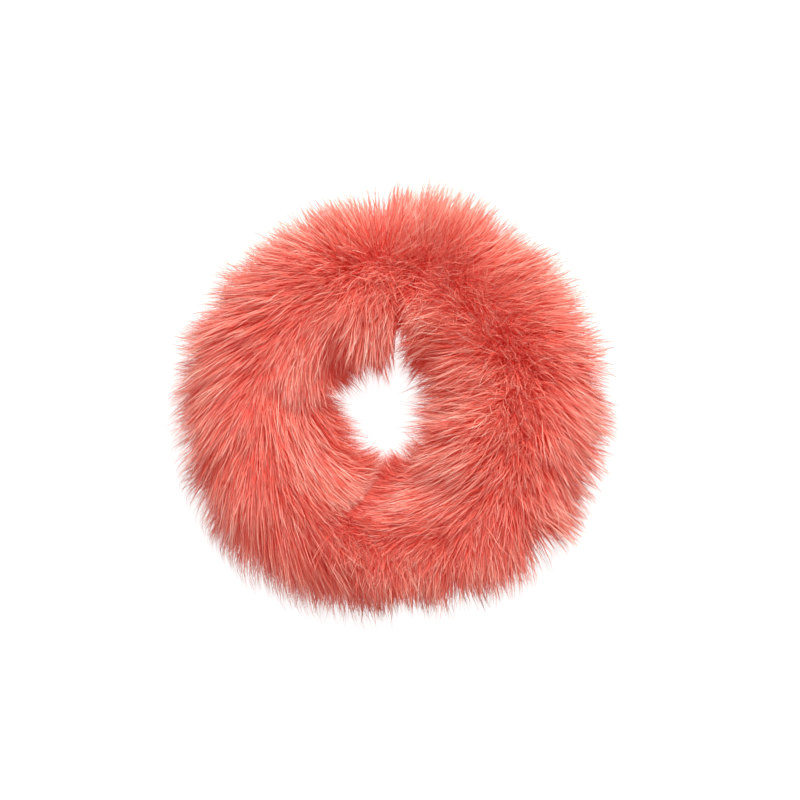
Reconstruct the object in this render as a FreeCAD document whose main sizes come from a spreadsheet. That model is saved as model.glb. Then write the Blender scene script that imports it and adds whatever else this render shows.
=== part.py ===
import FreeCAD, Part
import math
import os

import Sketcher

# An elastic faux-fur headband, relaxed and lying flat: a sewn fur-fabric sleeve, closed into a ring
# round a loop of flat elastic. The ring's axis is +Z, and the origin is under its centre, on the
# plane that it rests on. The ring is divided into equal sections, because its fabric and elastic
# move outward all the way round when it is pulled over a head. The closing seam, where the two ends
# of the sleeve meet, lies between the last section and the first.
SIZES = {
    "ring_radius": 59,          # centreline of the sleeve and of the elastic
    "section_angle": 30,
    "section_gap": 1.2,         # angle left free between two sections
    "pile_half_width": 42,      # from the centreline to the fur tips, inward, outward and upward
    "foot_half_width": 27,      # half width of the fur that is pressed flat underneath
    "core_height": 28,          # centreline above the resting plane
    "sleeve_radius": 11,        # outside of the knitted backing cloth
    "cloth_thickness": 1,
    "pile_clearance": 0.2,      # between the backing cloth and the pile round it
    "seam_depth": 5,            # allowance of the long seam, turned into the sleeve
    "hem_depth": 4,             # allowance of the closing seam, turned into the sleeve
    "hem_angle": 1,             # thickness of that allowance, as an angle round the ring
    "elastic_width": 8,
    "elastic_thickness": 1.2,
    "overlap_angle": 15,        # how far the two ends of the elastic lie over each other
    "overlap_clearance": 0.1,
    "thread_radius": 0.25,
    "seam_stitch": 1.4,         # radius of one thread loop in the long seam
    "closing_stitch": 1.2,      # radius of one thread loop in the closing seam
    "join_stitch": 1.6,         # radius of one thread loop in the join of the elastic
}
SECTIONS = 12
FIRST_ANGLE = 105               # direction in which section 1 lies; the numbers go anticlockwise
SEAM_STITCHES = 5               # in each section
SEAM_STITCH_STEP = 5.5          # degrees from one stitch of the long seam to the next
CLOSING_STITCHES = 10
JOIN_STITCHES = 4               # in each of two rows
JOIN_STITCH_STEP = 3            # degrees from one stitch of the elastic's join to the next

Y_AXIS = FreeCAD.Vector(0, 1, 0)
Z_AXIS = FreeCAD.Vector(0, 0, 1)
SWEEP = "sizes.section_angle - sizes.section_gap"

doc = FreeCAD.newDocument("headband")
parts = []


def make_sheet():
    sheet = doc.addObject("Spreadsheet::Sheet", "sizes")
    for row, (alias, value) in enumerate(SIZES.items(), start=1):
        sheet.set(f"A{row}", str(value))
        sheet.setAlias(f"A{row}", alias)
    doc.recompute()


def section_placement(number):
    angle = FIRST_ANGLE + (number - 1) * SIZES["section_angle"]
    return FreeCAD.Placement(FreeCAD.Vector(), FreeCAD.Rotation(Z_AXIS, angle))


# Sketches. In each one, X is the distance from the ring's axis and Y is the height.

def new_body(label, number):
    body = doc.addObject("PartDesign::Body", label)
    body.Label = label
    body.Placement = section_placement(number)
    parts.append(body)
    return body


def new_sketch(body, name):
    sketch = body.newObject("Sketcher::SketchObject", f"{body.Label}_{name}")
    plane = next(item for item in body.Origin.OriginFeatures if item.Role == "XZ_Plane")
    sketch.AttachmentSupport = (plane, [""])
    sketch.MapMode = "FlatFace"
    return sketch


def constrain(sketch, expression, *constraint):
    """Adds a dimension to the sketch and binds its value to the sheet."""
    index = sketch.addConstraint(Sketcher.Constraint(*constraint))
    sketch.setExpression(f"Constraints[{index}]", expression)


def pin_height(sketch, element, point, expression):
    height = sketch.getPoint(element, point).y
    constrain(sketch, expression, "DistanceY", -1, 1, element, point, height)


def pin(sketch, element, point, distance, height):
    place = sketch.getPoint(element, point)
    constrain(sketch, distance, "DistanceX", -1, 1, element, point, place.x)
    pin_height(sketch, element, point, height)


def add_line(sketch, start, end):
    return sketch.addGeometry(Part.LineSegment(FreeCAD.Vector(*start), FreeCAD.Vector(*end)), False)


def add_arc(sketch, centre, radius, start, end):
    """An arc that runs anticlockwise from one angle to another, in radians."""
    circle = Part.Circle(FreeCAD.Vector(*centre), Z_AXIS, radius)
    return sketch.addGeometry(Part.ArcOfCircle(circle, start, end), False)


def add_circle(sketch, radius, expression):
    """A circle round the centreline of the sleeve."""
    centre = FreeCAD.Vector(SIZES["ring_radius"], SIZES["core_height"])
    circle = sketch.addGeometry(Part.Circle(centre, Z_AXIS, radius), False)
    pin(sketch, circle, 3, "sizes.ring_radius", "sizes.core_height")
    constrain(sketch, expression, "Radius", circle, radius)


def close_loop(sketch, elements):
    """Joins the end of each line or arc to the start of the next one, round a closed outline."""
    for first, second in zip(elements, elements[1:] + elements[:1]):
        sketch.addConstraint(Sketcher.Constraint("Coincident", first, 2, second, 1))


def revolve(body, sketch, angle):
    """Sweeps a sketch round the ring's axis, half of the angle to each side."""
    feature = body.newObject("PartDesign::Revolution", f"{sketch.Label}_sweep")
    feature.Profile = sketch
    feature.ReferenceAxis = (sketch, ["V_Axis"])
    feature.Midplane = True
    feature.setExpression("Angle", angle)


# Fur, cloth and elastic.

def make_pile(number):
    """The fur: a thick soft tube with a flat foot, open along its middle for the sleeve."""
    body = new_body(f"fur_pile_{number:02d}", number)
    sketch = new_sketch(body, "profile")
    middle, height = SIZES["ring_radius"], SIZES["core_height"]
    half, foot = SIZES["pile_half_width"], SIZES["foot_half_width"]
    side_radius = ((half - foot) ** 2 + height ** 2) / (2 * (half - foot))
    reach = math.asin(height / side_radius)
    outer_centre = (middle + half - side_radius, height)
    inner_centre = (middle - half + side_radius, height)

    base = add_line(sketch, (middle - foot, 0), (middle + foot, 0))
    outer = add_arc(sketch, outer_centre, side_radius, -reach, 0)
    top = add_arc(sketch, (middle, height), half, 0, math.pi)
    inner = add_arc(sketch, inner_centre, side_radius, math.pi, math.pi + reach)
    close_loop(sketch, [base, outer, top, inner])
    pin(sketch, base, 1, "sizes.ring_radius - sizes.foot_half_width", "0")
    pin(sketch, base, 2, "sizes.ring_radius + sizes.foot_half_width", "0")
    pin(sketch, top, 3, "sizes.ring_radius", "sizes.core_height")
    constrain(sketch, "sizes.pile_half_width", "Radius", top, half)
    pin_height(sketch, top, 1, "sizes.core_height")
    pin_height(sketch, top, 2, "sizes.core_height")
    pin_height(sketch, outer, 3, "sizes.core_height")
    pin_height(sketch, inner, 3, "sizes.core_height")

    bore = SIZES["sleeve_radius"] + SIZES["pile_clearance"]
    add_circle(sketch, bore, "sizes.sleeve_radius + sizes.pile_clearance")
    revolve(body, sketch, SWEEP)


def make_sleeve(number):
    """The backing cloth, sewn into a tube, with the long seam's allowance standing up inside."""
    body = new_body(f"fabric_sleeve_{number:02d}", number)
    sketch = new_sketch(body, "profile")
    middle, height = SIZES["ring_radius"], SIZES["core_height"]
    cloth = SIZES["cloth_thickness"]
    inside = SIZES["sleeve_radius"] - cloth
    wall = middle - math.sqrt(inside ** 2 - cloth ** 2)
    edge = middle - inside + SIZES["seam_depth"]
    spread = math.asin(cloth / inside)

    under = add_line(sketch, (wall, height - cloth), (edge, height - cloth))
    tip = add_line(sketch, (edge, height - cloth), (edge, height + cloth))
    over = add_line(sketch, (edge, height + cloth), (wall, height + cloth))
    hollow = add_arc(sketch, (middle, height), inside, spread - math.pi, math.pi - spread)
    sketch.addConstraint(Sketcher.Constraint("Coincident", under, 2, tip, 1))
    sketch.addConstraint(Sketcher.Constraint("Coincident", tip, 2, over, 1))
    sketch.addConstraint(Sketcher.Constraint("Coincident", over, 2, hollow, 2))
    sketch.addConstraint(Sketcher.Constraint("Coincident", hollow, 1, under, 1))
    edge_distance = "sizes.ring_radius - sizes.sleeve_radius + sizes.cloth_thickness + sizes.seam_depth"
    pin(sketch, tip, 1, edge_distance, "sizes.core_height - sizes.cloth_thickness")
    pin(sketch, tip, 2, edge_distance, "sizes.core_height + sizes.cloth_thickness")
    pin(sketch, hollow, 3, "sizes.ring_radius", "sizes.core_height")
    constrain(sketch, "sizes.sleeve_radius - sizes.cloth_thickness", "Radius", hollow, inside)
    pin_height(sketch, hollow, 1, "sizes.core_height - sizes.cloth_thickness")
    pin_height(sketch, hollow, 2, "sizes.core_height + sizes.cloth_thickness")
    add_circle(sketch, SIZES["sleeve_radius"], "sizes.sleeve_radius")
    revolve(body, sketch, SWEEP)
    return body


def add_hem(sleeve, side):
    """The end of the sleeve, turned in for the closing seam: side is 1 or -1, the way round."""
    sketch = new_sketch(sleeve, "hem")
    turn = f"{side} * (sizes.section_angle - sizes.section_gap - sizes.hem_angle) / 2"
    sketch.AttachmentOffset = FreeCAD.Placement(FreeCAD.Vector(), FreeCAD.Rotation(Y_AXIS, side))
    sketch.setExpression("AttachmentOffset.Rotation.Angle", turn)
    doc.recompute()
    overlap = SIZES["cloth_thickness"] / 2
    outside = SIZES["sleeve_radius"] - overlap
    inside = SIZES["sleeve_radius"] - SIZES["cloth_thickness"] - SIZES["hem_depth"]
    add_circle(sketch, outside, "sizes.sleeve_radius - sizes.cloth_thickness / 2")
    add_circle(sketch, inside, "sizes.sleeve_radius - sizes.cloth_thickness - sizes.hem_depth")
    revolve(sleeve, sketch, "sizes.hem_angle")


def make_band(label, number, near, far, angle):
    """A stretch of flat elastic on edge, between two distances from the ring's axis."""
    body = new_body(label, number)
    sketch = new_sketch(body, "profile")
    distance = SIZES["ring_radius"]
    low = SIZES["core_height"] - SIZES["elastic_width"] / 2
    high = low + SIZES["elastic_width"]
    side = distance + SIZES["elastic_thickness"]
    corners = [(distance, low), (side, low), (side, high), (distance, high)]
    lines = [add_line(sketch, start, end) for start, end in zip(corners, corners[1:] + corners[:1])]
    close_loop(sketch, lines)
    bottom = "sizes.core_height - sizes.elastic_width / 2"
    top = "sizes.core_height + sizes.elastic_width / 2"
    for line, place, level in zip(lines, (near, far, far, near), (bottom, bottom, top, top)):
        pin(sketch, line, 1, place, level)
    revolve(body, sketch, angle)


def make_elastic(number):
    near = "sizes.ring_radius - sizes.elastic_thickness / 2"
    far = "sizes.ring_radius + sizes.elastic_thickness / 2"
    make_band(f"elastic_band_{number:02d}", number, near, far, SWEEP)


def make_overlap(number):
    """The far end of the elastic, lying on the outside of the near end."""
    near = "sizes.ring_radius + sizes.elastic_thickness / 2 + sizes.overlap_clearance"
    make_band("elastic_overlap", number, near, f"{near} + sizes.elastic_thickness", "sizes.overlap_angle")


# Thread. Each stitch is one loop that goes through the cloth or elastic and round its edge.

def make_stitch(name, size, position, axis):
    stitch = doc.addObject("Part::Torus", name)
    stitch.setExpression("Radius1", f"sizes.{size}")
    stitch.setExpression("Radius2", "sizes.thread_radius")
    stitch.Placement = FreeCAD.Placement(position, FreeCAD.Rotation(Z_AXIS, axis))
    return stitch


def group_stitches(label, number, stitches):
    group = doc.addObject("Part::Compound", label)
    group.Label = label
    group.Links = stitches
    group.Placement = section_placement(number)
    parts.append(group)


def around(angle, distance, height):
    """A place in a section, and the direction round the ring there. The angle is in degrees."""
    turn = FreeCAD.Rotation(Z_AXIS, angle)
    return turn.multVec(FreeCAD.Vector(distance, 0, height)), turn.multVec(Y_AXIS)


def centred_steps(count, step):
    """Evenly spaced values either side of zero."""
    return [(index - (count - 1) / 2) * step for index in range(count)]


def make_seam_stitches(number):
    """Overlocking along the raw edge of the long seam's allowance."""
    label = f"seam_stitches_{number:02d}"
    inside = SIZES["sleeve_radius"] - SIZES["cloth_thickness"]
    edge = SIZES["ring_radius"] - inside + SIZES["seam_depth"]
    stitches = []
    for index, angle in enumerate(centred_steps(SEAM_STITCHES, SEAM_STITCH_STEP), start=1):
        position, along = around(angle, edge, SIZES["core_height"])
        stitches.append(make_stitch(f"{label}_{index}", "seam_stitch", position, along))
    group_stitches(label, number, stitches)


def make_closing_stitches(number):
    """Whipping round the raw edge of the hem at the last section's far end."""
    inside = SIZES["sleeve_radius"] - SIZES["cloth_thickness"] - SIZES["hem_depth"]
    face = (SIZES["section_angle"] - SIZES["section_gap"]) / 2 - SIZES["hem_angle"]
    stitches = []
    for index in range(CLOSING_STITCHES):
        turn = 2 * math.pi * (index + 0.5) / CLOSING_STITCHES
        distance = SIZES["ring_radius"] + inside * math.cos(turn)
        position, along = around(face, distance, SIZES["core_height"] + inside * math.sin(turn))
        outward = along.cross(Z_AXIS)
        across = Z_AXIS * math.cos(turn) - outward * math.sin(turn)
        stitches.append(make_stitch(f"closing_stitch_{index + 1}", "closing_stitch", position, across))
    group_stitches("closing_seam_stitches", number, stitches)


def make_join_stitches(number):
    """Two rows of loops round both layers of the elastic, where its ends overlap."""
    interface = (SIZES["elastic_thickness"] + SIZES["overlap_clearance"]) / 2
    distance = SIZES["ring_radius"] + interface
    row_offset = SIZES["elastic_width"] / 4
    stitches = []
    for row, offset in (("lower", -row_offset), ("upper", row_offset)):
        for index, angle in enumerate(centred_steps(JOIN_STITCHES, JOIN_STITCH_STEP), start=1):
            position, along = around(angle, distance, SIZES["core_height"] + offset)
            stitches.append(make_stitch(f"{row}_join_stitch_{index}", "join_stitch", position, along))
    group_stitches("elastic_join_stitches", number, stitches)


def check(parts):
    for item in doc.Objects:
        if {"Invalid", "Error"} & set(item.State):
            raise RuntimeError(f"{item.Label} failed: {item.State}")
    for part in parts:
        if part.Shape.isNull() or not part.Shape.isValid() or not part.Shape.Solids:
            raise RuntimeError(f"{part.Label} has no valid solid")


make_sheet()
for section in range(1, SECTIONS + 1):
    make_pile(section)
    sleeve = make_sleeve(section)
    if section == 1:
        add_hem(sleeve, -1)
    if section == SECTIONS:
        add_hem(sleeve, 1)
    make_elastic(section)
    make_seam_stitches(section)
make_overlap(SECTIONS)
make_join_stitches(SECTIONS)
make_closing_stitches(SECTIONS)
doc.recompute()
check(parts)

os.makedirs("parts", exist_ok=True)
for part in parts:
    part.Shape.exportStep(f"parts/{part.Label}.step")
    print(part.Label, len(part.Shape.Solids), "solids", round(part.Shape.Volume, 1), "mm3")
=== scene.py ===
"""Looks of the elastic faux-fur headband: fur, gathered sleeve, braided elastic and thread."""
import math

import bpy
import numpy as np
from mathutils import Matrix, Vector


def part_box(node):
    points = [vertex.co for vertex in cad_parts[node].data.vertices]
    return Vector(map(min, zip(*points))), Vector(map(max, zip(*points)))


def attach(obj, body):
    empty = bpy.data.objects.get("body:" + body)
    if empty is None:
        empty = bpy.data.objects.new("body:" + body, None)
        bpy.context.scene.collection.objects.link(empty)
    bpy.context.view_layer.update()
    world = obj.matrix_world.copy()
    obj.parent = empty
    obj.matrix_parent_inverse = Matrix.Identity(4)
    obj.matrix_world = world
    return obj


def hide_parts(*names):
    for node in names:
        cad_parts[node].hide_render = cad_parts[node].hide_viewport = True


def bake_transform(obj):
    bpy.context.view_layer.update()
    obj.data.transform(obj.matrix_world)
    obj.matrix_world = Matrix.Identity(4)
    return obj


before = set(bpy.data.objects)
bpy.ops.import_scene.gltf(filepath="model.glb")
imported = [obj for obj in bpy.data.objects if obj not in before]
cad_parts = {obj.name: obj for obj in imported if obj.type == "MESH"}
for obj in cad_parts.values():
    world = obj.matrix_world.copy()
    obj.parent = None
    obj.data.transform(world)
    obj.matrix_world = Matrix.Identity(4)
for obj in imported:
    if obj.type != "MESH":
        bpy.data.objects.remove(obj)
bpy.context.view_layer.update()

MM = 0.001
SECTIONS = 12
SECTION_DEG = 360 / SECTIONS
FIRST_DEG = 105                 # direction in which section 1 lies, anticlockwise from +X
SEAM_DEG = 90                   # the closing seam, between the last section and the first

# The sleeve's tube, read from the frame, in mm.
sleeve_boxes = [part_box(f"fabric_sleeve_{n:02d}") for n in range(1, SECTIONS + 1)]
SLEEVE_LOW = min(low.z for low, high in sleeve_boxes) / MM
SLEEVE_TOP = max(high.z for low, high in sleeve_boxes) / MM
SLEEVE_RADIUS = (SLEEVE_TOP - SLEEVE_LOW) / 2
CORE_HEIGHT = (SLEEVE_TOP + SLEEVE_LOW) / 2
RING_RADIUS = max(high.x for low, high in sleeve_boxes) / MM - SLEEVE_RADIUS

# The fur, in mm and degrees.
PILE_LENGTH = 39
# The long strands and the short dense ones under them: how many in each section, the points along each,
# its width, and the range of its colour, from 0, deepest, to 1, palest. The spread from strand to
# strand is partly random tone and partly painted highlight on the pale strands and painted shade on the
# deep ones. The short strands are kept deeper, as painted shade under the long ones.
GUARD_HAIR = {"name": "guard", "count": 22000, "points": 6, "width": 0.38, "tint": (0.12, 1.0)}
UNDERWOOL = {"name": "wool", "count": 11000, "points": 4, "width": 0.38, "tint": (0.0, 0.5)}
# Lengths as shares of PILE_LENGTH. Few long strands reach the full length: the power says how few.
GUARD_SHORTEST = 0.62
GUARD_SPREAD = 0.48
GUARD_POWER = 2.4
WOOL_LENGTHS = (0.5, 0.8)

# One strand, from its root to its tip. Pairs are the value at the root and what is added at the tip.
STRAY = 0.14                    # how much its direction strays at random
STRAY_GROWTH = 0.4              # share of that at the root, where 1 is added at the tip
DROOP = (0.12, 0.5)             # how it sinks under its own weight
COMBED = (0.45, 0.75)           # how it turns sideways, as it is combed
CURL_RADIUS = (0.2, 0.8)        # smallest and largest, at the tip
CURL_TURN = (3, 8)              # smallest and largest angle from root to tip, in radians
CLUMP_GRIP = (0.25, 1)          # how far it gives in to its clump, at least and at most
RIM_GRIP = (0.3, 1)             # the same where the tips draw together at a rim
STRAND_WIDTHS = (0.7, 1.3)      # as shares of the width of its kind
STRAND_ROLL = 0.8               # how far its flat side turns at random, in radians
STRAND_TAPER = 0.6              # how much narrower it gets before its point

# The crown, where the fur parts along the top of the tube, and the foot, where it rests on the floor.
CROWN_DEG = 82
CROWN_CROP = 0.2                # how much shorter the fur is along the crown
CROWN_CROP_DEG = 20             # half the width of the strip where it is
CROWN_MESS = 1.8                # how much more the strands stray there
CROWN_MESS_DEG = 22
CROWN_PAINTED_SHADE = 0.35              # painted shade: how much deeper the strands' colour is along the crown, where one looks down into the pile
CROWN_PAINTED_SHADE_DEG = 25
# How far the fur leans away on both sides, within which width in degrees, and how fast this fades
# round the tube, in radians.
CROWN_SPLIT = {"lean": 12, "width": 25, "fade": 1.2}
FOOT_SPLIT = {"lean": 40, "width": 20, "fade": 0.9}
BLEND_DEG = 50                  # strip in which the outer side's fur passes into the hole's side's
FOOT_DEG = 270
FOOT_REACH_DEG = 88             # how far up the tube the foot's own strip can lie
CALM_DEG = 105                  # distance from the crown beyond which the fur is combed least
CALM_SHARE = 0.2                # how much of the combing is left there

SEAM_LAP_DEG = 9.6              # how far the fur of each end reaches across the closing seam

# The crease at the hole, where the fur that is combed from one side lies over that from the other.
CREASE_DEG = 242                # where the two directions of combing part on the inner side
CREASE_LINE = ((26, 260), (56, 240))    # from near the hole to the crown: distance, and direction
CREASE_LAP_DEG = (4, 1)         # how far the fur on its left and on its right can lie across it
CREASE_LAP_STRAY = 5            # how much that varies with the strand's own stray direction
CREASE_LAP_RANGE = (0.3, 2.2)   # smallest and largest share of it
CREASE_LIFT = (7.0, -7.0)       # how far the fur on its left stands up there, and that on its right
CREASE_LIFT_WIDTH = 0.2         # in radians
CREASE_END = 1.2                # angle past the line, in radians, at which the fur is no longer trimmed
CREASE_STUB = 0.3               # the least share that is left of a trimmed strand
CREASE_PAINTED_SHADOW = 0.9              # painted shadow: how much deeper the colour is on its right, close to it, where the fur on its left lies over it
CREASE_SHADE = (0.06, 0.08)     # the middle and the half width of that strip, in radians from the line
CREASE_SHADE_END = (56, 66)     # distances from the middle between which it fades out

# Where the longest strands start to curl back, and where they end: from the middle, and above the
# floor.
FUR_EDGE = (103, 112)
FUR_TOP = (70, 79)
FUR_FOOT = 8                    # height below which the strands flatten towards the floor

# How the fur is combed. Each row is a direction round the ring in degrees, the sideways lean of
# the fur that faces the hole, and of the fur that faces outward. Positive leans anticlockwise.
COMB = (
    (242, -1.3, 0.9),
    (260, -1.7, 0.3),
    (285, -1.9, -0.25),
    (315, -1.4, -0.45),
    (345, -0.45, -0.7),
    (375, 0.05, -0.75),
    (405, 0.45, -0.45),
    (435, 0.4, -0.2),
    (455, 0.1, 0.0),
    (480, 0.7, 0.8),
    (510, 1.1, 1.1),
    (540, 1.4, 1.2),
    (570, 2.2, 1.7),
    (590, 2.2, 1.4),
    (601.9, 1.9, 0.9),
)
# Length of the fur as a share of PILE_LENGTH, in each direction round the ring: towards the hole, and
# outward.
INNER_REACH = (
    (0, 0.98),
    (30, 1.00),
    (60, 0.86),
    (76, 0.60),
    (90, 0.82),
    (105, 1.02),
    (112, 0.98),
    (120, 0.86),
    (130, 0.78),
    (145, 0.88),
    (155, 0.76),
    (165, 0.74),
    (180, 0.86),
    (200, 0.90),
    (212, 0.78),
    (240, 0.90),
    (270, 0.74),
    (300, 0.90),
    (312, 0.86),
    (330, 0.90),
    (338, 1.12),
    (350, 1.12),
    (360, 0.98),
)
OUTER_REACH = (
    (0, 1.11),
    (8, 1.12),
    (30, 0.96),
    (60, 0.99),
    (90, 0.97),
    (105, 0.90),
    (120, 0.95),
    (150, 1.09),
    (180, 1.14),
    (195, 1.28),
    (210, 1.40),
    (240, 1.06),
    (258, 0.88),
    (270, 0.78),
    (285, 0.82),
    (300, 0.91),
    (312, 1.12),
    (322, 1.16),
    (330, 1.06),
    (345, 1.02),
    (360, 1.11),
)
# Where the fur on the outer side falls open, and how strongly it leans away on either side.
OUTER_PARTINGS = (
    (13, 0.4),
    (62, 0.25),
    (95, 0.5),
    (147, 0.2),
    (186, 0.4),
    (228, 0.3),
    (251, 0.25),
    (292, 0.25),
    (322, 0.7),
    (345, 0.25),
)
# The same towards the hole.
INNER_PARTINGS = (
    (32, 0.2),
    (80, 0.9),
    (118, 0.2),
    (162, 0.5),
    (300, 0.2),
    (345, 0.2),
)
PARTING_WIDTH = 6               # how fast the lean fades beside a parting, in degrees
PARTING_CORE = 1.5              # half the width of its bare line
# How the strands gather, from tufts to wisps to locks: the spacing of their roots along and round the
# tube, how much they bend at random, their range of length, and how far they draw in what is smaller
# at its tip, and how late along it.
CLUMPS = (
    {"spacing": (7.0, 5.0), "bend": 0.16, "length": (0.90, 1.06), "pull": 0.42, "onset": 1.3},
    {"spacing": (2.7, 2.4), "bend": 0.16, "length": (0.88, 1.08), "pull": 0.55, "onset": 2.2},
    {"spacing": (1.2, 1.1), "bend": 0.26, "length": (0.84, 1.10), "pull": 0.65, "onset": 1.2},
)
# Where the tips draw together along the outer edge and round the hole: how many wisps there are, the
# distances from the middle at which it begins and is complete, and its strength.
RIM_WISPS = (
    {"count": 270, "from": 76, "to": 103, "pull": 0.72},
    {"count": 54, "from": 38, "to": 20, "pull": 0.75},
)
RIM_PLACE = (0.15, 0.85)        # where each of these wisps lies, as shares of the way to the next
LOCK_SHARE = 0.10               # how much of a strand's colour it shares with its lock
CLUMP_SHIFT = 0.45              # how far a clump's root strays from the middle of its cell, in cells
MOST_CLUMPS = 60000             # more than there are at any level

# The gathered sleeve, in mm: one cut of knitted cloth, sewn into a tube and drawn up by the elastic.
CLOTH_THICKNESS = 0.8
CLOTH_RADIUS = SLEEVE_RADIUS - 1.5      # middle of the cloth, half way up its gathers
GATHER_HEIGHT = 1.1
GATHERS = 7                             # in each section
GATHER_SWAY = 1.6                       # how far the gathers wander along the ring, in radians
GATHER_SLANT = 0.8                      # how unevenly they run round the tube
TUCKED_GATHERS = 0.3                    # share of their height that is left inside the tuck
SLEEVE_ROWS = 70                        # of vertices, in each section
SLEEVE_POINTS = 46                      # round the tube
SEAM_DEPTH = 5                          # allowance of the long seam, standing up inside the sleeve
SEAM_POINTS = 5                         # across the allowance
SEAM_GAP = 0.55                         # from its middle to each side's middle, in cloth thicknesses
SEAM_WAVE = 0.45                        # how far the allowance bends with the gathers
TUCK = 21                               # of the last section's end, inside the first one
TUCK_RADIUS = 7.5
TUCK_SLOPE = 1.5                        # length along which the sleeve narrows into the tuck

# The elastic and the overlocking, in mm.
band_low, band_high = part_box("elastic_band_01")
BAND_WIDTH = (band_high.z - band_low.z) / MM
BAND_THICKNESS = 1.2
BAND_RIBS = 8
RIB_POINTS = 6
RIB_HEIGHT = 0.12
BAND_ROWS = 24                          # of vertices, in each section
EDGE_ROUNDING = 0.35                    # how much thinner the elastic is at its edges
STITCH_RADIUS = 1.4
THREAD_RADIUS = 0.22
THREAD_SIDES = 8
STITCHES = 11                           # turns of thread in each section
STITCH_ROWS = 12                        # of vertices, in each turn

# Colours, the dark one painted shade between the stitches, and stitches of yarn across and along a
# piece.
BACKING = {"dark": (0.42, 0.06, 0.045), "light": (0.72, 0.16, 0.12), "count": (52, 36), "bump_mm": 0.25}
BRAID = {"dark": (0.62, 0.59, 0.54), "light": (0.90, 0.88, 0.84), "bump_mm": 0.15}
BRAID_COUNT = (16, 30)
BRAID_END_COUNT = (15, 15)
SPUN_THREAD = {"dark": (0.55, 0.12, 0.09), "light": (0.80, 0.25, 0.20), "bump_mm": 0.05}
THREAD_COUNT = (2, 300)
THREAD_END_COUNT = (40, 40)

rng = np.random.default_rng(7)


# Points on the ring. Angles are in radians and lengths in mm.

def ring_axes(theta):
    """Outward and anticlockwise directions."""
    zero = np.zeros_like(theta)
    outward = np.stack([np.cos(theta), np.sin(theta), zero], -1)
    along = np.stack([-np.sin(theta), np.cos(theta), zero], -1)
    return outward, along


def tube_point(theta, phi, radius):
    """A point at an angle round the ring and an angle round its tube: 0 outward, 90 degrees up."""
    outward, _ = ring_axes(theta)
    distance = RING_RADIUS + radius * np.cos(phi)
    point = outward * np.expand_dims(distance, -1)
    point[..., 2] = CORE_HEIGHT + radius * np.sin(phi)
    return point


def unit(vectors):
    """The same directions, each of length 1."""
    return vectors / np.maximum(np.linalg.norm(vectors, axis=-1, keepdims=True), 1e-9)


def wrap(angle):
    """The same angle, from -pi to pi."""
    return (angle + np.pi) % (2 * np.pi) - np.pi


def smooth(value):
    """An even rise from 0 to 1 with a soft start and end."""
    value = np.clip(value, 0, 1)
    return value * value * (3 - 2 * value)


def curl_back(value, start, end):
    """The same value below the start. Above it the value rises ever slower, and stays below the end."""
    room = end - start
    return np.minimum(value, start) + room * np.tanh(np.maximum(value - start, 0) / room)


# Fur.

def comb_lean(theta, inward):
    """Sideways lean of the fur, where inward is 0 on the outer side and 1 on the hole's side."""
    degrees = CREASE_DEG + (np.degrees(theta) - CREASE_DEG) % 360
    places, inner, outer = zip(*COMB)
    return inward * np.interp(degrees, places, inner) + (1 - inward) * np.interp(degrees, places, outer)


def parted(theta, partings):
    """Lean away from the nearest parting."""
    lean = np.zeros_like(theta)
    for place, strength in partings:
        apart = np.degrees(wrap(theta - math.radians(place)))
        lean += strength * np.tanh(apart / PARTING_CORE) * np.exp(-np.abs(apart) / PARTING_WIDTH)
    return lean


def reach(theta, inward):
    """Length of the fur as a share of PILE_LENGTH."""
    degrees = np.degrees(theta) % 360
    inner = np.interp(degrees, *zip(*INNER_REACH))
    outer = np.interp(degrees, *zip(*OUTER_REACH))
    return inward * inner + (1 - inward) * outer


def beside_crease(points):
    """How far points lie anticlockwise of the crease, in radians, and from the ring's middle, in mm."""
    distance = np.hypot(points[..., 0], points[..., 1])
    line = np.radians(np.interp(distance, *zip(*CREASE_LINE)))
    return wrap(np.arctan2(points[..., 1], points[..., 0]) - line), distance


def split_by_crease(theta):
    """Whether fur that is rooted in this direction lies on the left of the crease."""
    return wrap(theta - math.radians(CREASE_DEG)) < 0


def trim_at_crease(points, left, lap, inward):
    """Lifts the strands on the left of the crease over those on its right, and shortens the strands
    that would cross it by more than their lap."""
    count = points.shape[1]
    past = beside_crease(points)[0] * np.where(left, 1, -1)[:, None]
    lift = np.where(left, *CREASE_LIFT)[:, None] * inward[:, None]
    lift = lift * np.exp(-(past / CREASE_LIFT_WIDTH) ** 2)
    points[..., 2] += lift * np.linspace(0, 1, count)
    over = (past > lap[:, None]) & (past < CREASE_END)
    strand = np.arange(len(points))
    after = np.where(over.any(1), np.argmax(over, 1), count - 1)
    before = np.maximum(after - 1, 0)
    gain = np.maximum(past[strand, after] - past[strand, before], 1e-6)
    end = np.where(over.any(1), before + np.clip((lap - past[strand, before]) / gain, 0, 1), count - 1)
    kept = np.maximum(1 - inward * (1 - end / (count - 1)), CREASE_STUB)
    place = kept[:, None] * np.arange(count)
    low = np.minimum(place.astype(int), count - 2)
    part = (place - low)[..., None]
    return points[strand[:, None], low] * (1 - part) + points[strand[:, None], low + 1] * part


def crease_painted_shadow(theta, tips):
    """How much painted shadow each strand gets beside the crease: 1 for those on its right whose tips
    are close to it.
    """
    beside, distance = beside_crease(tips)
    middle, width = CREASE_SHADE
    start, end = CREASE_SHADE_END
    close = np.exp(-((beside - middle) / width) ** 2) * smooth((end - distance) / (end - start))
    return np.where(split_by_crease(theta), 0, close)


def split_away(angle, split):
    """How far strands lean away from a line along the tube, at an angle from it."""
    lean = math.radians(split["lean"]) * np.tanh(angle / math.radians(split["width"]))
    return lean * np.exp(-np.abs(angle) / split["fade"])


def from_crown(phi):
    """Angle round the tube from the crown, in radians. It is positive towards the hole."""
    return wrap(phi - math.radians(CROWN_DEG))


def near_crown(crown, width_deg):
    """1 on the crown, and less within a strip of this half width."""
    return np.exp(-(crown / math.radians(width_deg)) ** 2)


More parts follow.
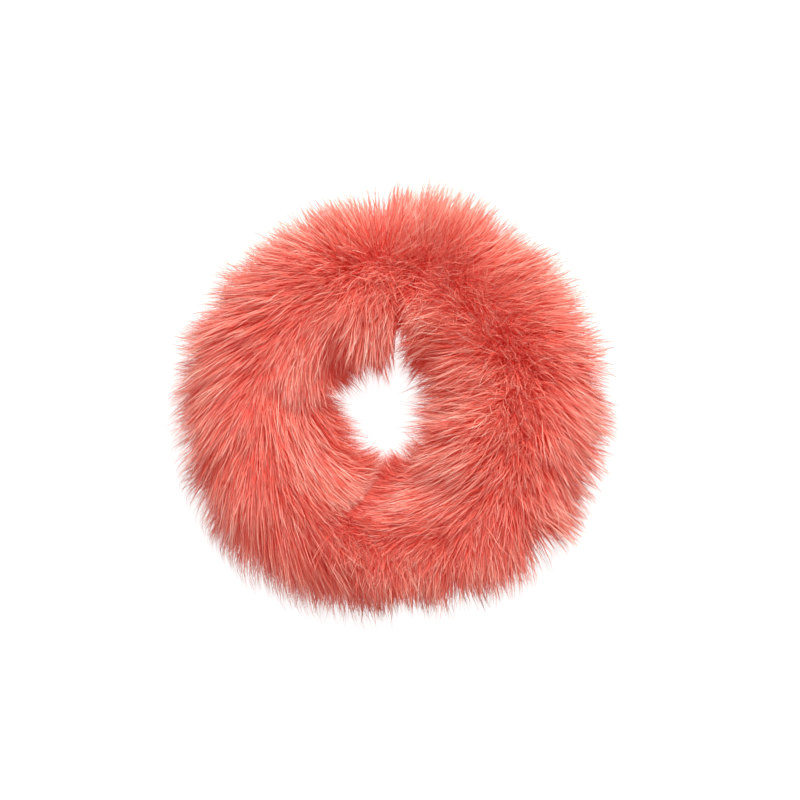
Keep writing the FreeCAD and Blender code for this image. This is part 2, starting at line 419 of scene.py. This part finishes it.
def strand_paths(theta, phi, length, jitter, count):
    """Points along each strand, from a root on the sleeve to the tip: (strands, count, 3)."""
    crown = from_crown(phi)
    foot = wrap(phi - math.radians(FOOT_DEG))
    inward = smooth(0.5 + np.degrees(crown) / BLEND_DEG) * (np.degrees(crown) > -90)
    near_foot = np.abs(foot) < math.radians(FOOT_REACH_DEG)
    inward = np.where(near_foot, smooth(0.5 - np.degrees(foot) / BLEND_DEG), inward)
    facing = phi + split_away(crown, CROWN_SPLIT) + split_away(foot, FOOT_SPLIT)
    calm = smooth((CALM_DEG - np.abs(np.degrees(crown))) / BLEND_DEG)
    lean = comb_lean(theta, inward) * (CALM_SHARE + (1 - CALM_SHARE) * calm)
    lean += inward * parted(theta, INNER_PARTINGS) + (1 - inward) * parted(theta, OUTER_PARTINGS)
    mess = 1 + CROWN_MESS * near_crown(crown, CROWN_MESS_DEG)
    jitter = jitter * mess[:, None]

    outward, along = ring_axes(theta)
    up = np.array([0.0, 0.0, 1.0])
    normal = outward * np.cos(facing)[:, None] + up * np.sin(facing)[:, None]
    point = tube_point(theta, phi, SLEEVE_RADIUS)
    points = [point]
    cropped = 1 - CROWN_CROP * near_crown(crown, CROWN_CROP_DEG)
    step = (length * cropped * reach(theta, inward) / (count - 1))[:, None]
    for index in range(1, count):
        share = (index - 0.5) / (count - 1)
        sideways = lean * (COMBED[0] + COMBED[1] * share)
        droop = DROOP[0] + DROOP[1] * share
        direction = normal + along * sideways[:, None] - up * droop + jitter * (STRAY_GROWTH + share)
        point = point + unit(direction) * step
        points.append(point)
    left = split_by_crease(theta)
    lap_share = np.clip(1 + CREASE_LAP_STRAY * jitter[:, 0], *CREASE_LAP_RANGE)
    lap = np.radians(np.where(left, *CREASE_LAP_DEG)) * lap_share
    return trim_at_crease(np.stack(points, 1), left, lap, inward)


def clump_roots(theta, phi, spacing, seed):
    """The root of the clump that each strand belongs to: the nearest of a jittered grid of roots."""
    columns = round(2 * np.pi * RING_RADIUS / spacing[0])
    rows = round(2 * np.pi * SLEEVE_RADIUS / spacing[1])
    grid = np.random.default_rng(seed).uniform(-CLUMP_SHIFT, CLUMP_SHIFT, (columns, rows, 2))
    column = theta / (2 * np.pi) * columns
    row = phi / (2 * np.pi) * rows
    best = np.full(len(theta), np.inf)
    centre = np.zeros((len(theta), 2))
    cell = np.zeros(len(theta), int)
    for d_column in (-1, 0, 1):
        for d_row in (-1, 0, 1):
            i = np.floor(column).astype(int) + d_column
            j = np.floor(row).astype(int) + d_row
            offset = grid[i % columns, j % rows]
            place = np.stack([i + 0.5 + offset[:, 0], j + 0.5 + offset[:, 1]], -1)
            gap = (place[:, 0] - column) ** 2 + (place[:, 1] - row) ** 2
            nearer = gap < best
            best = np.where(nearer, gap, best)
            centre[nearer] = place[nearer]
            cell = np.where(nearer, (i % columns) * rows + j % rows, cell)
    return centre[:, 0] / columns * 2 * np.pi, centre[:, 1] / rows * 2 * np.pi, cell


def cell_random(cell, seed, low, high, size=None):
    """A random value that is the same for every strand of a clump."""
    shape = (MOST_CLUMPS,) if size is None else (MOST_CLUMPS, size)
    return np.random.default_rng(seed).uniform(low, high, shape)[cell]


def gather_rims(paths):
    """Draws the tips together into wisps, along the outer edge and round the hole."""
    distance = np.hypot(paths[..., 0], paths[..., 1])
    angle = np.arctan2(paths[..., 1], paths[..., 0])
    strength = rng.uniform(*RIM_GRIP, (len(paths), 1))
    for seed, rim in enumerate(RIM_WISPS, 61):
        count = rim["count"]
        offset = np.random.default_rng(seed).uniform(*RIM_PLACE, count)
        place = angle / (2 * np.pi) * count
        cell = np.floor(place).astype(int)
        nearest = cell + offset[cell % count]
        near = smooth((distance - rim["from"]) / (rim["to"] - rim["from"]))
        angle = angle + rim["pull"] * strength * near * (nearest - place) * 2 * np.pi / count
    return np.stack([distance * np.cos(angle), distance * np.sin(angle), paths[..., 2]], -1)


def make_strands(theta, phi, length, points):
    """Strands that gather into locks, the locks into wisps and the wisps into tufts. Gives their
    paths, and the lock that each belongs to."""
    count = len(theta)
    share = np.linspace(0, 1, points)[None, :, None]
    target, pull, bend = 0, 0, 0
    for level, clump in enumerate(CLUMPS):
        root_theta, root_phi, cell = clump_roots(theta, phi, clump["spacing"], 21 + level)
        length = length * cell_random(cell, 31 + level, *clump["length"])
        bend = bend + cell_random(cell, 41 + level, -clump["bend"], clump["bend"], 3)
        middle = strand_paths(root_theta, root_phi, length, bend, points)
        target = middle + pull * (target - middle)
        pull = clump["pull"] * share ** clump["onset"]
    paths = strand_paths(theta, phi, length, rng.normal(0, STRAY, (count, 3)), points)
    paths = paths + pull * rng.uniform(*CLUMP_GRIP, (count, 1, 1)) * (target - paths)

    curl = rng.uniform(*CURL_RADIUS, (count, 1)) * share[:, :, 0]
    phase = rng.uniform(0, 2 * np.pi, (count, 1)) + share[:, :, 0] * rng.uniform(*CURL_TURN, (count, 1))
    _, along = ring_axes(theta)
    paths = paths + (curl * np.sin(phase))[:, :, None] * along[:, None]
    paths[..., 2] += curl * np.cos(phase)
    return gather_rims(keep_in_bounds(paths)), cell


def keep_in_bounds(paths):
    """Flattens the strands on the floor, and curls back those that stand out at the edge or the top."""
    height = paths[..., 2]
    flattened = FUR_FOOT * np.exp((np.minimum(height, FUR_FOOT) - FUR_FOOT) / FUR_FOOT)
    paths[..., 2] = np.where(height < FUR_FOOT, flattened, curl_back(height, *FUR_TOP))
    distance = np.hypot(paths[..., 0], paths[..., 1])
    paths[..., :2] *= (curl_back(distance, *FUR_EDGE) / distance)[..., None]
    return paths


def ribbon_mesh(name, paths, width, tint):
    """Flat tapered strands that face away from the tube's centreline."""
    count, points = paths.shape[:2]
    tangent = unit(np.gradient(paths, axis=1))
    angle = np.arctan2(paths[..., 1], paths[..., 0])
    centre = tube_point(angle, np.zeros_like(angle), 0.0)
    away = unit(paths - centre)
    roll = rng.uniform(-STRAND_ROLL, STRAND_ROLL, (count, 1, 1))
    side = unit(np.cross(tangent, away))
    side = unit(side * np.cos(roll) + np.cross(tangent, side) * np.sin(roll))
    share = np.linspace(0, 1, points)[None, :, None]
    width = width * rng.uniform(*STRAND_WIDTHS, (count, 1, 1)) * (1 - STRAND_TAPER * share ** 2)
    left = paths - side * width / 2
    right = paths + side * width / 2
    vertices = np.empty((count, 2 * points - 1, 3), np.float32)
    vertices[:, 0:2 * points - 2:2] = left[:, :-1]
    vertices[:, 1:2 * points - 2:2] = right[:, :-1]
    vertices[:, -1] = paths[:, -1]
    triangles = []
    for index in range(points - 2):
        a = 2 * index
        triangles += [(a, a + 1, a + 3), (a, a + 3, a + 2)]
    triangles.append((2 * points - 4, 2 * points - 3, 2 * points - 2))
    triangles = np.array(triangles)
    faces = triangles[None] + (np.arange(count) * (2 * points - 1))[:, None, None]
    v = np.concatenate([np.repeat(np.linspace(0, 1, points)[:-1], 2), [1.0]])
    uv = np.stack(np.broadcast_arrays(tint[:, None], v[None]), -1).reshape(-1, 2)
    return new_mesh(name, vertices.reshape(-1, 3) * MM, faces.reshape(-1, 3), uv)


def new_mesh(name, vertices, triangles, uv):
    """An object from arrays of vertices, triangles and one texture coordinate for each vertex."""
    mesh = bpy.data.meshes.new(name)
    mesh.vertices.add(len(vertices))
    mesh.vertices.foreach_set("co", np.asarray(vertices, np.float32).ravel())
    loops = np.asarray(triangles, np.int32).ravel()
    mesh.loops.add(len(loops))
    mesh.loops.foreach_set("vertex_index", loops)
    mesh.polygons.add(len(loops) // 3)
    mesh.polygons.foreach_set("loop_start", np.arange(0, len(loops), 3, dtype=np.int32))
    mesh.polygons.foreach_set("loop_total", np.full(len(loops) // 3, 3, np.int32))
    mesh.update(calc_edges=True)
    mesh.polygons.foreach_set("use_smooth", np.ones(len(loops) // 3, bool))
    layer = mesh.uv_layers.new(name="OFBake")
    layer.data.foreach_set("uv", np.asarray(uv, np.float32)[loops].ravel())
    thing = bpy.data.objects.new(name, mesh)
    bpy.context.scene.collection.objects.link(thing)
    return thing


def section_direction(number):
    """The direction of a section's middle from the ring's, in radians."""
    return math.radians(FIRST_DEG + (number - 1) * SECTION_DEG)


def section_middle(number):
    """The middle of a section's elastic, in metres."""
    point = tube_point(np.array([section_direction(number)]), np.zeros(1), 0.0)[0]
    return tuple(point * MM)


def body(number):
    return f"section_{number:02d}"


def join_to_sections(piece, number):
    """The two ends at the closing seam ride on one section each; a span between two sections keeps its
    place, with its transform applied to its mesh.
    """
    if number == 0:
        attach(piece, body(1))
    elif number == SECTIONS:
        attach(piece, body(SECTIONS))
    else:
        section_middle(number)
        section_middle(number + 1)
        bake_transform(piece)


def span_nodes(node, number):
    """The CAD nodes that a span stands for. Span 0 is the first end and span 12 the last."""
    return [f"{node}_{n:02d}" for n in (number, number + 1) if 1 <= n <= SECTIONS]


def random_roots(count, low, high):
    """Roots spread evenly over the sleeve between two directions, in radians."""
    theta = rng.uniform(low, high, count * 2)
    phi = rng.uniform(0, 2 * np.pi, count * 2)
    weight = (RING_RADIUS + SLEEVE_RADIUS * np.cos(phi)) / (RING_RADIUS + SLEEVE_RADIUS)
    kept = rng.random(count * 2) < weight
    return theta[kept][:count], phi[kept][:count]


def fur_roots(count, number):
    """Roots for one span. At the closing seam each end's fur reaches across, so that the two still
    meet when the seam's ends are drawn apart, and is thinned there to its share."""
    half = math.radians(SECTION_DEG / 2)
    lap = math.radians(SEAM_LAP_DEG)
    middle = section_direction(number) + half
    low = middle - (lap if number == 0 else half)
    high = middle + (lap if number == SECTIONS else half)
    theta, phi = random_roots(int(count * (high - low) / (2 * half)), low, high)
    if number in (0, SECTIONS):
        near_seam = np.abs(wrap(theta - math.radians(SEAM_DEG))) < lap
        kept = ~near_seam | (rng.random(len(theta)) < 0.5)
        theta, phi = theta[kept], phi[kept]
    return theta, phi


def guard_lengths(count):
    """Fewer and fewer strands towards the full length, so that the fur thins out at its edge."""
    return PILE_LENGTH * (GUARD_SHORTEST + GUARD_SPREAD * rng.random(count) ** GUARD_POWER)


def wool_lengths(count):
    return PILE_LENGTH * rng.uniform(*WOOL_LENGTHS, count)


def strand_tint(kind, theta, phi, paths, lock):
    """Colour of each strand: random tone, partly shared with its lock, that also stands for painted
    highlight and painted shade. It is deepened by painted shade along the crown and by a painted shadow
    beside the crease.
    """
    shade = LOCK_SHARE * cell_random(lock, 51, 0, 1) + (1 - LOCK_SHARE) * rng.random(len(theta))
    # Painted shade: deeper colour along the crown, where one looks down into the pile.
    shade = shade * (1 - CROWN_PAINTED_SHADE * near_crown(from_crown(phi), CROWN_PAINTED_SHADE_DEG))
    # Painted shadow: deeper colour on the right of the crease, where the fur on its left lies over it.
    shade = shade * (1 - CREASE_PAINTED_SHADOW * crease_painted_shadow(theta, paths[:, -1]))
    return kind["tint"][0] + shade * (kind["tint"][1] - kind["tint"][0])


def make_fur(material):
    for kind, lengths in ((GUARD_HAIR, guard_lengths), (UNDERWOOL, wool_lengths)):
        for number in range(0, SECTIONS + 1):
            theta, phi = fur_roots(kind["count"], number)
            paths, lock = make_strands(theta, phi, lengths(len(theta)), kind["points"])
            tint = strand_tint(kind, theta, phi, paths, lock)
            fur = ribbon_mesh(f"fur_{kind['name']}_{number:02d}", paths, kind["width"], tint)
            fur.data.materials.append(material)
            join_to_sections(fur, number)
            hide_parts(*span_nodes("fur_pile", number))


# Sleeve, elastic and thread.

def quads(index):
    """Two triangles for each cell of a grid of vertices."""
    a, b, c, d = index[:-1, :-1], index[1:, :-1], index[1:, 1:], index[:-1, 1:]
    return np.concatenate([np.stack(corners, -1).reshape(-1, 3) for corners in ((a, b, c), (a, c, d))])


def loft(name, rings):
    """A closed solid through rows of closed outlines, (rows, points, 3). Each end is closed by a
    strip from the first half of its outline to the second. The number of points is even."""
    rows, points = rings.shape[:2]
    index = np.arange(rows * points).reshape(rows, points)
    half = points // 2
    wall = np.concatenate([index, index[:, :1]], 1)
    first = np.stack([index[0, half:][::-1], index[0, :half]])
    last = np.stack([index[-1, :half], index[-1, half:][::-1]])
    triangles = np.concatenate([quads(grid) for grid in (wall, first, last)])
    u, v = np.meshgrid(np.arange(points) / points, np.linspace(0, 1, rows))
    return new_mesh(name, rings.reshape(-1, 3) * MM, triangles, np.stack([u, v], -1).reshape(-1, 2))


def section_span(number):
    """The directions at which a span starts and ends, in radians."""
    start = section_direction(number)
    end = section_direction(number + 1)
    seam = (start + end) / 2
    return (seam if number == 0 else start), (seam if number == SECTIONS else end)


def place_outline(theta, outward, up):
    """Points from their distance outward and upward from the centreline, both (rows, points)."""
    direction, _ = ring_axes(theta)
    points = direction[:, None] * (RING_RADIUS + outward)[..., None]
    points[..., 2] = CORE_HEIGHT + up
    return points


def sleeve_outline(theta, radius, height):
    """The cloth's middle and its normal across the tube, from one raw edge of the long seam round
    the tube to the other, with gathers of the given height."""
    gap = CLOTH_THICKNESS * SEAM_GAP
    turn = math.pi - math.asin(gap / CLOTH_RADIUS)
    phi = np.linspace(turn, -turn, SLEEVE_POINTS)
    fin = np.linspace(SEAM_DEPTH, 0, SEAM_POINTS + 1)[:-1]
    phase = theta[:, None] * GATHERS * SECTIONS + GATHER_SWAY * np.sin(2 * phi + 5 * theta[:, None])
    fold = radius[:, None] + height[:, None] * np.sin(phase + GATHER_SLANT * np.sin(3 * phi))
    outward, up = fold * np.cos(phi), fold * np.sin(phi)
    fin_out = outward[:, :1] + fin
    fin_lean = SEAM_WAVE * np.sin(phase[:, :1]) * fin / SEAM_DEPTH
    outward = np.concatenate([fin_out, outward, fin_out[:, ::-1]], 1)
    up = np.concatenate([gap + fin_lean, up, -gap + fin_lean[:, ::-1]], 1)
    normal = np.concatenate([np.full(len(fin), math.pi / 2), phi, np.full(len(fin), -math.pi / 2)])
    return outward, up, normal


def make_sleeve(material):
    for number in range(0, SECTIONS + 1):
        start, end = section_span(number)
        tuck = TUCK / RING_RADIUS if number == SECTIONS else 0
        rows = int(SLEEVE_ROWS * (end + tuck - start) / math.radians(SECTION_DEG))
        theta = np.linspace(start, end + tuck, rows)
        inside = smooth((theta - end) * RING_RADIUS / TUCK_SLOPE + 1) if tuck else np.zeros_like(theta)
        radius = CLOTH_RADIUS + (TUCK_RADIUS - CLOTH_RADIUS) * inside
        height = GATHER_HEIGHT * (1 - (1 - TUCKED_GATHERS) * inside)
        outward, up, normal = sleeve_outline(theta, radius, height)
        across = np.cos(normal) * CLOTH_THICKNESS / 2
        rise = np.sin(normal) * CLOTH_THICKNESS / 2
        outside = place_outline(theta, outward + across, up + rise)
        lining = place_outline(theta, outward - across, up - rise)
        sleeve = loft(f"sleeve_{number:02d}", np.concatenate([outside, lining[:, ::-1]], 1))
        sleeve.data.materials.append(material)
        join_to_sections(sleeve, number)
        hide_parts(*span_nodes("fabric_sleeve", number))


def make_elastic(material):
    """Braided flat elastic on edge, with a rib over each of its rubber cores."""
    across = np.linspace(-1, 1, RIB_POINTS * BAND_RIBS + 1)
    rib = RIB_HEIGHT * np.abs(np.sin(across * math.pi * BAND_RIBS / 2))
    depth = (BAND_THICKNESS / 2 - RIB_HEIGHT + rib) * (1 - EDGE_ROUNDING * np.abs(across) ** 12)
    outward = np.concatenate([depth, -depth])
    up = np.concatenate([across, across[::-1]]) * BAND_WIDTH / 2
    for number in range(0, SECTIONS + 1):
        start, end = section_span(number)
        rows = int(BAND_ROWS * (end - start) / math.radians(SECTION_DEG)) + 1
        theta = np.linspace(start, end, rows)
        rings = place_outline(theta, np.tile(outward, (rows, 1)), np.tile(up, (rows, 1)))
        elastic = loft(f"elastic_{number:02d}", rings[:, ::-1])
        elastic.data.materials.append(material)
        join_to_sections(elastic, number)
        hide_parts(*span_nodes("elastic_band", number))


def make_overlocking(material):
    """Thread wound round the raw edges of the long seam, inside the sleeve."""
    around = np.linspace(0, 2 * np.pi, THREAD_SIDES, endpoint=False)
    edge = SEAM_DEPTH - CLOTH_RADIUS
    for number in range(0, SECTIONS + 1):
        start, end = section_span(number)
        share = (end - start) / math.radians(SECTION_DEG)
        theta = np.linspace(start, end, int(STITCH_ROWS * STITCHES * share))
        turn = (theta - section_direction(1)) * STITCHES / math.radians(SECTION_DEG) * 2 * np.pi
        path_out = edge + STITCH_RADIUS * np.cos(turn)
        path_up = STITCH_RADIUS * np.sin(turn)
        path = place_outline(theta, path_out[:, None], path_up[:, None])[:, 0]
        tangent = unit(np.gradient(path, axis=0))
        direction, _ = ring_axes(theta)
        outer = direction * np.cos(turn)[:, None]
        outer[:, 2] = np.sin(turn)
        side = unit(np.cross(tangent, outer))
        ring = outer[:, None] * np.cos(around)[:, None] + side[:, None] * np.sin(around)[:, None]
        thread = loft(f"overlocking_{number:02d}", path[:, None] + THREAD_RADIUS * ring)
        thread.data.materials.append(material)
        join_to_sections(thread, number)
        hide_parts(*span_nodes("seam_stitches", number))


def finish_nodes(elastic, thread):
    """Materials for the CAD nodes that are shown as they are: the join of the elastic and the
    stitches of the closing seam."""
    for node, material in (
        ("elastic_overlap", elastic),
        ("elastic_join_stitches", thread),
        ("closing_seam_stitches", thread),
    ):
        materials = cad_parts[node].data.materials
        materials.clear()
        materials.append(material)


# Materials.

def principled(name):
    """A new material, its nodes, its links and its shader."""
    material = bpy.data.materials.new(name)
    material.use_nodes = True
    nodes = material.node_tree.nodes
    return material, nodes, material.node_tree.links, nodes["Principled BSDF"]


def ramp(nodes, stops):
    """A colour ramp through (position, colour) stops."""
    node = nodes.new("ShaderNodeValToRGB")
    elements = node.color_ramp.elements
    while len(elements) < len(stops):
        elements.new(0.5)
    for element, (position, colour) in zip(elements, stops):
        element.position = position
        element.color = (*colour, 1)
    return node


def fur_material():
    """Dyed acrylic fibre, its colour deep red at the root, coral along its length and paler at the tip:
    painted shade deep in the pile and painted light on the tips, with a faint painted glow.
    """
    material, nodes, links, shader = principled("fur_fibre")
    uv = nodes.new("ShaderNodeUVMap")
    uv.uv_map = "OFBake"
    split = nodes.new("ShaderNodeSeparateXYZ")
    links.new(uv.outputs["UV"], split.inputs[0])
    # Painted shade and light along the strand: saturated deep red at the root, where the pile shades
    # itself, and paler at the tip, where the light reaches it.
    along = ramp(nodes, [
        (0.0, (0.90, 0.035, 0.022)),
        (0.35, (0.90, 0.108, 0.072)),
        (0.7, (0.85, 0.228, 0.160)),
        (1.0, (0.83, 0.44, 0.35)),
    ])
    links.new(split.outputs["Y"], along.inputs[0])
    # Each strand's tint multiplies its colour: random tone, spread so wide that the pale strands carry
    # painted highlights and the deep ones painted shade between them.
    tint = ramp(nodes, [
        (0.0, (0.72, 0.13, 0.10)),
        (0.5, (0.97, 0.80, 0.78)),
        (1.0, (1.10, 2.15, 2.25)),
    ])
    links.new(split.outputs["X"], tint.inputs[0])
    mix = nodes.new("ShaderNodeMix")
    mix.data_type = "RGBA"
    mix.blend_type = "MULTIPLY"
    mix.inputs["Factor"].default_value = 1
    links.new(along.outputs["Color"], mix.inputs["A"])
    links.new(tint.outputs["Color"], mix.inputs["B"])
    links.new(mix.outputs["Result"], shader.inputs["Base Color"])
    # Painted light: a faint red glow, though the fur is no lamp, stands in for light scattered deep
    # inside the pile and lifts the red in its shade.
    shader.inputs["Emission Color"].default_value = (1.0, 0.03, 0.02, 1)
    shader.inputs["Emission Strength"].default_value = 0.09
    shader.inputs["Roughness"].default_value = 0.5
    shader.inputs["Specular IOR Level"].default_value = 0.5
    shader.inputs["Sheen Weight"].default_value = 0.2
    shader.inputs["Sheen Tint"].default_value = (1.0, 0.75, 0.7, 1)
    return material


def weave_nodes(nodes, links, place, count):
    """The place on a cloth, counted in stitches across and along, and its pattern of stitches."""
    scale = nodes.new("ShaderNodeMapping")
    scale.inputs["Scale"].default_value = (*count, 1)
    links.new(place, scale.inputs["Vector"])
    ribs = []
    for direction in ("X", "Y"):
        wave = nodes.new("ShaderNodeTexWave")
        wave.bands_direction = direction
        wave.inputs["Scale"].default_value = 0.314      # one band for each unit of the coordinate
        wave.inputs["Distortion"].default_value = 0.6
        wave.inputs["Detail Scale"].default_value = 1.5
        links.new(scale.outputs["Vector"], wave.inputs["Vector"])
        ribs.append(wave.outputs["Fac"])
    pattern = nodes.new("ShaderNodeMath")
    pattern.operation = "MULTIPLY"
    links.new(ribs[0], pattern.inputs[0])
    links.new(ribs[1], pattern.inputs[1])
    return pattern.outputs["Value"]


def cloth_material(name, dark, light, count, bump_mm, on_node=False):
    """Knitted or braided yarn: light on top of each stitch and dark between them, as painted shade
    between the stitches over a bump of the same pattern. A CAD node has no texture coordinates of its
    own, so the yarn is laid in its box."""
    material, nodes, links, shader = principled(name)
    if on_node:
        place = nodes.new("ShaderNodeTexCoord").outputs["Generated"]
    else:
        uv = nodes.new("ShaderNodeUVMap")
        uv.uv_map = "OFBake"
        place = uv.outputs["UV"]
    pattern = weave_nodes(nodes, links, place, count)
    # Painted shade: the yarn's colour darkens between the stitches, where it shades itself.
    shade = ramp(nodes, [(0.0, dark), (0.6, light)])
    links.new(pattern, shade.inputs[0])
    links.new(shade.outputs["Color"], shader.inputs["Base Color"])
    bump = nodes.new("ShaderNodeBump")
    bump.inputs["Strength"].default_value = 1
    bump.inputs["Distance"].default_value = bump_mm * MM
    links.new(pattern, bump.inputs["Height"])
    links.new(bump.outputs["Normal"], shader.inputs["Normal"])
    shader.inputs["Roughness"].default_value = 0.85
    shader.inputs["Specular IOR Level"].default_value = 0.25
    shader.inputs["Sheen Weight"].default_value = 0.2
    return material


def floor_material():
    """Matt, and lit from within, so that it is as white as an evenly lit studio sheet."""
    material, _, _, shader = principled("pale_floor")
    shader.inputs["Base Color"].default_value = (0.2, 0.2, 0.2, 1)
    shader.inputs["Roughness"].default_value = 0.9
    shader.inputs["Specular IOR Level"].default_value = 0
    shader.inputs["Emission Color"].default_value = (1, 1, 1, 1)
    shader.inputs["Emission Strength"].default_value = 0.98
    return material


# Stage.

def make_floor():
    half = 3.0                      # half the floor's width, in metres
    mesh = bpy.data.meshes.new("floor")
    corners = [(-half, -half, 0), (half, -half, 0), (half, half, 0), (-half, half, 0)]
    mesh.from_pydata(corners, [], [(0, 1, 2, 3)])
    floor = bpy.data.objects.new("floor", mesh)
    bpy.context.scene.collection.objects.link(floor)
    mesh.materials.append(floor_material())


def add_area_light(name, place, size, power, target=(0, 0, 0.03)):
    """A round soft light that faces the target, near the ring's middle."""
    data = bpy.data.lights.new(name, "AREA")
    data.shape = "DISK"
    data.size = size
    data.energy = power
    light = bpy.data.objects.new(name, data)
    light.location = place
    direction = Vector(target) - Vector(place)
    light.rotation_euler = direction.to_track_quat("-Z", "Y").to_euler()
    bpy.context.scene.collection.objects.link(light)


def make_lights():
    world = bpy.data.worlds.new("studio")
    world.use_nodes = True
    background = world.node_tree.nodes["Background"]
    background.inputs["Color"].default_value = (1, 1, 1, 1)
    background.inputs["Strength"].default_value = 0.16
    bpy.context.scene.world = world
    add_area_light("key_light", place=(0.19, 0.74, 1.04), size=0.6, power=22.5)


def make_camera():
    """Straight above the ring, with the ring's +Y upward in the picture."""
    lens = 100
    sensor = 36
    picture_width = 0.376           # at the height of the tube's widest part
    middle_x, middle_y = 0.0033, 0.0014     # the point of the ring's plane in the middle of the picture
    distance = picture_width * lens / sensor
    data = bpy.data.cameras.new("camera")
    data.lens = lens
    data.sensor_width = sensor
    camera = bpy.data.objects.new("camera", data)
    camera.location = (middle_x, middle_y, CORE_HEIGHT * MM + distance)
    scene = bpy.context.scene
    scene.collection.objects.link(camera)
    scene.camera = camera
    scene.view_settings.view_transform = "Standard"


make_camera()
make_floor()
make_lights()
make_fur(fur_material())
backing = cloth_material("knitted_backing", **BACKING)
braid = cloth_material("braided_elastic", count=BRAID_COUNT, **BRAID)
braid_ends = cloth_material("braided_elastic_ends", count=BRAID_END_COUNT, on_node=True, **BRAID)
thread = cloth_material("spun_thread", count=THREAD_COUNT, **SPUN_THREAD)
thread_ends = cloth_material("spun_thread_ends", count=THREAD_END_COUNT, on_node=True, **SPUN_THREAD)
make_sleeve(backing)
make_elastic(braid)
make_overlocking(thread)
finish_nodes(braid_ends, thread_ends)
